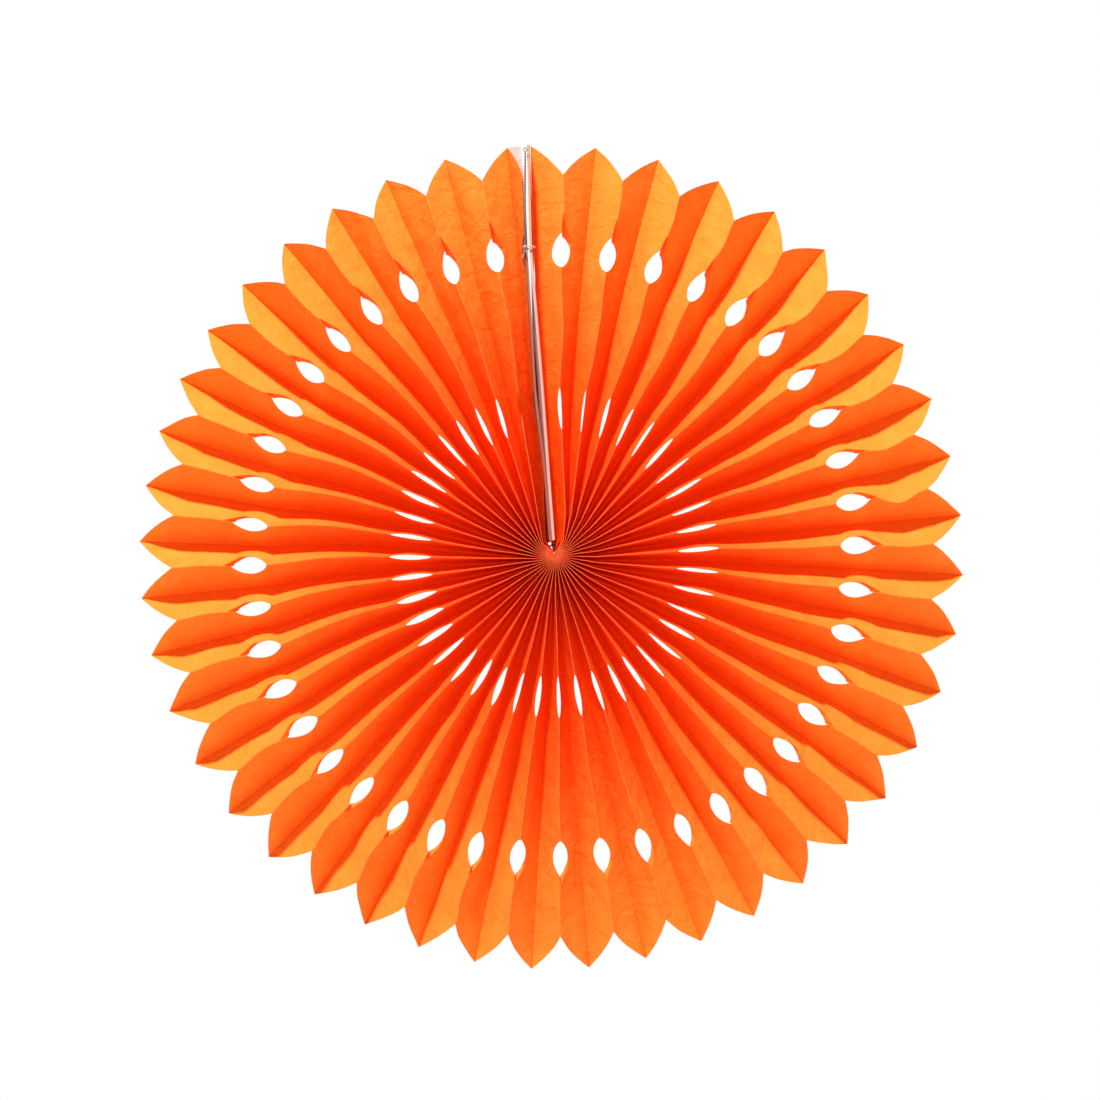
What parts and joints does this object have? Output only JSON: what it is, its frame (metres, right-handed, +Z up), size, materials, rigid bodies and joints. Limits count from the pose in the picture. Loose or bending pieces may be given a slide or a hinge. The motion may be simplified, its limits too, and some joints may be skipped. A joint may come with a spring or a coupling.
{
  "type": "paper fan medallion",
  "caption": "Round pleated paper fan with a petal edge and two rows of cut holes, opened to a full disc and hung by a thread.",
  "frame": {"origin": "centre of the open fan, on its axis, halfway through the depth of the pleats", "axes": "the fan hangs upright and faces -Y, the ridges' side; +X is to its right as seen from the front; +Z is up, towards the hanging thread"},
  "size_m": [0.3996, 0.0238, 0.3994],
  "materials": {
    "orange_tissue": "matt dyed tissue paper, slightly translucent",
    "white_card": "matt uncoated card",
    "thread": "twisted cotton thread"
  },
  "bodies": {
    "root": {"pleated_paper": "orange_tissue", "left_card": "white_card", "right_card": "white_card", "binding_thread": "thread", "card_tie": "thread", "hanging_thread": "thread", "hanging_eye": "thread"}
  },
  "joints": []
}
